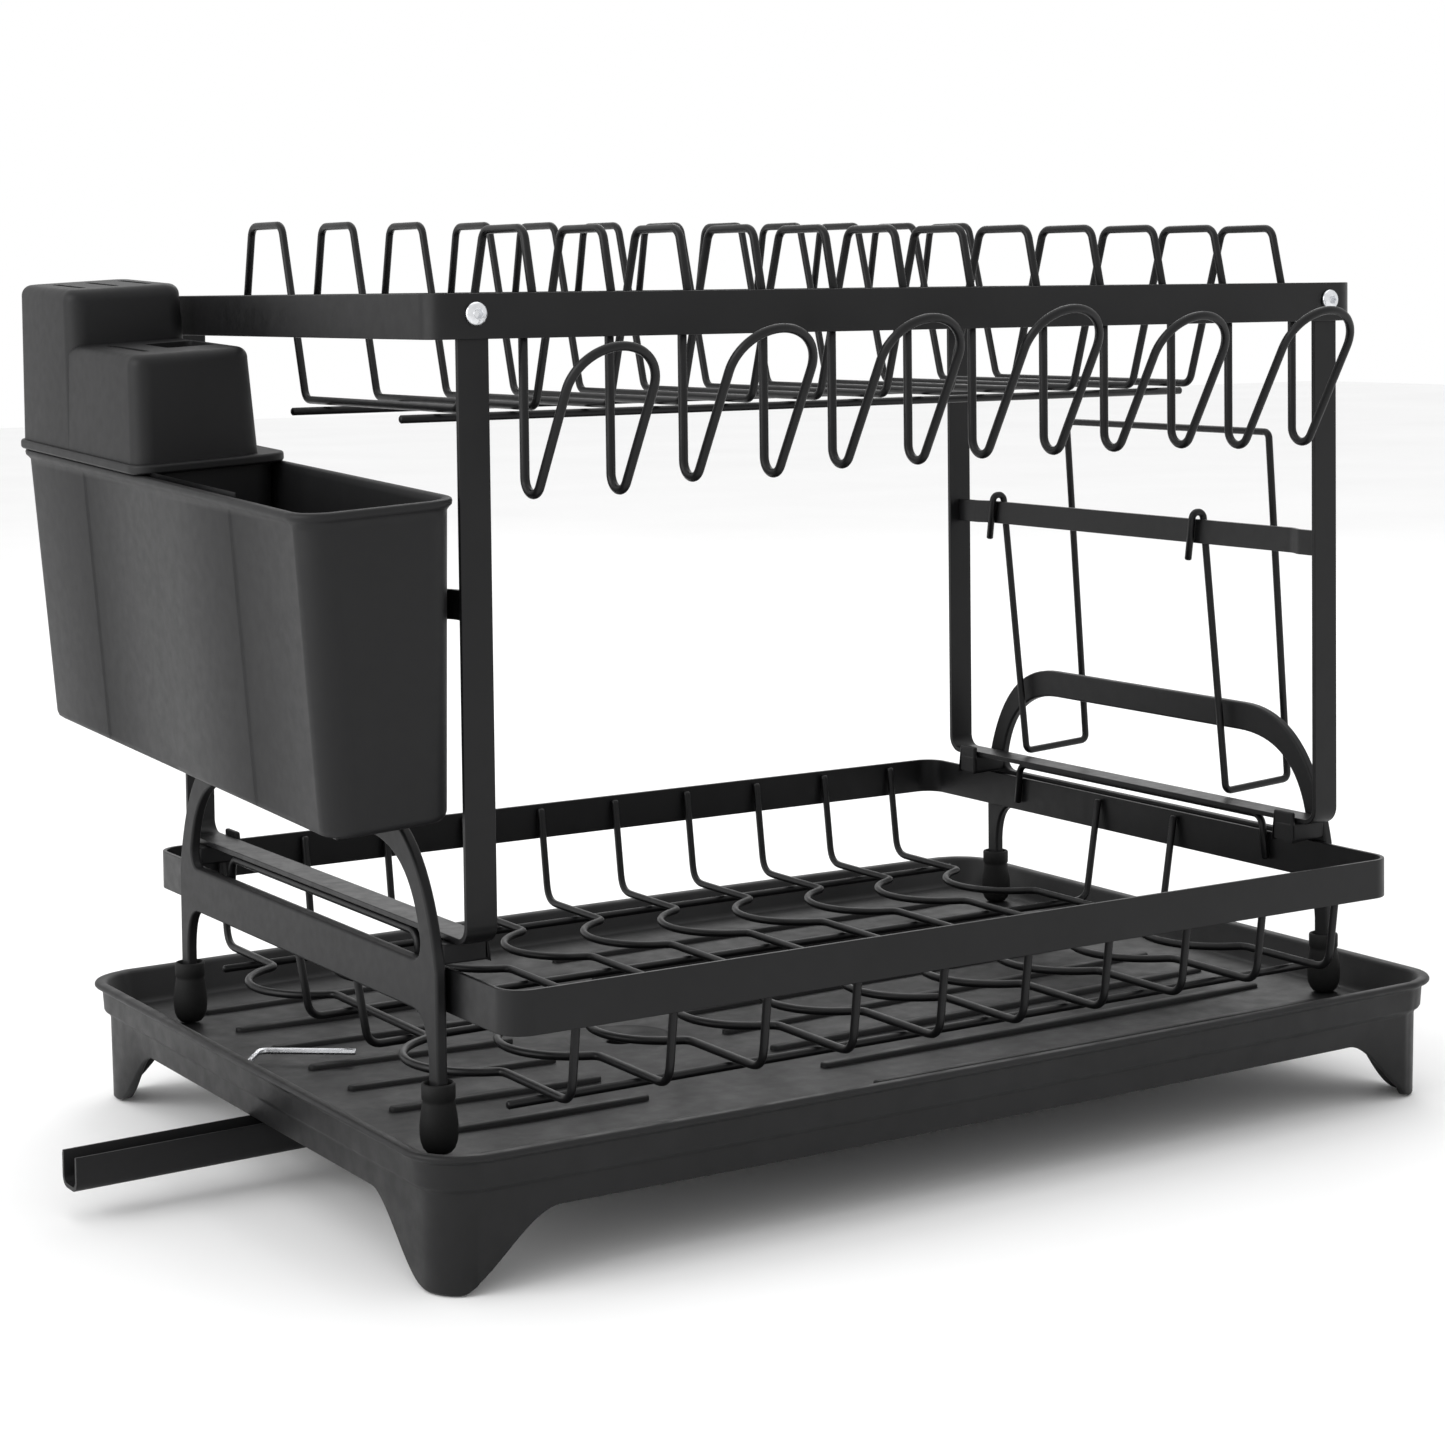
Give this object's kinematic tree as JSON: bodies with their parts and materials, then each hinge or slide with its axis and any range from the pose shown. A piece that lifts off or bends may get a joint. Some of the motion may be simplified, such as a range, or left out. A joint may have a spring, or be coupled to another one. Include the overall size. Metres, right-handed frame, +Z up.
{
  "type": "dish drying rack",
  "caption": "Two-tier black wire dish drying rack on a drip tray with a swivel spout, mug hooks, a hanging utensil bin with a knife block, and a cutting board holder.",
  "frame": {"origin": "on the table, under the middle of the whole rack's overall box", "axes": "+Z up, +X along the long side from the utensil bin to the cutting board holder, +Y away from the mug hooks"},
  "size_m": [0.5154, 0.3204, 0.3473],
  "materials": {
    "tray_plastic": "satin moulded",
    "moulded_plastic": "fine matte grain",
    "powder_coat": "satin black powder coat",
    "foot_rubber": "matte",
    "plated_steel": "bright plated"
  },
  "bodies": {
    "tray": {"drip_tray": "tray_plastic"},
    "spout": {"drain_spout": "moulded_plastic"},
    "key": {"hex_key": "plated_steel"},
    "lower_rack": {"lower_band": "powder_coat", "cradle_wire_1": "powder_coat", "cradle_wire_2": "powder_coat", "cradle_wire_3": "powder_coat", "cradle_wire_4": "powder_coat", "cradle_wire_5": "powder_coat", "cradle_wire_6": "powder_coat", "cradle_wire_7": "powder_coat", "cradle_wire_8": "powder_coat", "cradle_wire_9": "powder_coat", "cradle_wire_10": "powder_coat", "lower_rod_front": "powder_coat", "lower_rod_back": "powder_coat", "side_rod_front": "powder_coat", "side_rod_back": "powder_coat", "support_rail_left": "powder_coat", "end_frame_left": "moulded_plastic", "rubber_foot_front_left": "foot_rubber", "rubber_foot_back_left": "foot_rubber", "support_rail_right": "powder_coat", "end_frame_right": "moulded_plastic", "rubber_foot_front_right": "foot_rubber", "rubber_foot_back_right": "foot_rubber"},
    "upper_rack": {"upper_band": "powder_coat", "plate_wire_1": "powder_coat", "plate_wire_2": "powder_coat", "plate_wire_3": "powder_coat", "plate_wire_4": "powder_coat", "plate_wire_5": "powder_coat", "plate_wire_6": "powder_coat", "plate_wire_7": "powder_coat", "plate_wire_8": "powder_coat", "plate_wire_9": "powder_coat", "plate_wire_10": "powder_coat", "plate_wire_11": "powder_coat", "plate_wire_12": "powder_coat", "shelf_rod_front": "powder_coat", "shelf_rod_back": "powder_coat", "mug_hook_1": "powder_coat", "mug_hook_2": "powder_coat", "mug_hook_3": "powder_coat", "mug_hook_4": "powder_coat", "mug_hook_5": "powder_coat", "mug_hook_6": "powder_coat", "upright_frame_left": "powder_coat", "crossbar_left": "powder_coat", "screw_front_left": "plated_steel", "screw_back_left": "plated_steel", "upright_frame_right": "powder_coat", "crossbar_right": "powder_coat", "screw_front_right": "plated_steel", "screw_back_right": "plated_steel"},
    "bin": {"utensil_bin": "moulded_plastic"},
    "block": {"knife_block": "moulded_plastic"},
    "holder": {"board_holder": "powder_coat"}
  },
  "joints": [
    {"name": "spout_swing", "type": "hinge", "parent": "tray", "child": "spout", "pos_m": [-0.03659, 0, 0.02], "axis": [0, 0, 1], "range_deg": [-28, 28]},
    {"name": "key_lift", "type": "slide", "parent": "tray", "child": "key", "axis": [0, 0, 1], "range_m": [0, 0.01]},
    {"name": "lower_rack_lift", "type": "slide", "parent": "tray", "child": "lower_rack", "axis": [0, 0, 1], "range_m": [0, 0.12]},
    {"name": "upper_rack_lift", "type": "slide", "parent": "lower_rack", "child": "upper_rack", "axis": [0, 0, 1], "range_m": [0, 0.008]},
    {"name": "bin_lift", "type": "slide", "parent": "upper_rack", "child": "bin", "axis": [0, 0, 1], "range_m": [0, 0.012]},
    {"name": "block_lift", "type": "slide", "parent": "bin", "child": "block", "axis": [-0.0523, -0.0436, 0.9977], "range_m": [0, 0.012]},
    {"name": "holder_lift", "type": "slide", "parent": "upper_rack", "child": "holder", "axis": [0, 0, 1], "range_m": [0, 0.006]}
  ]
}
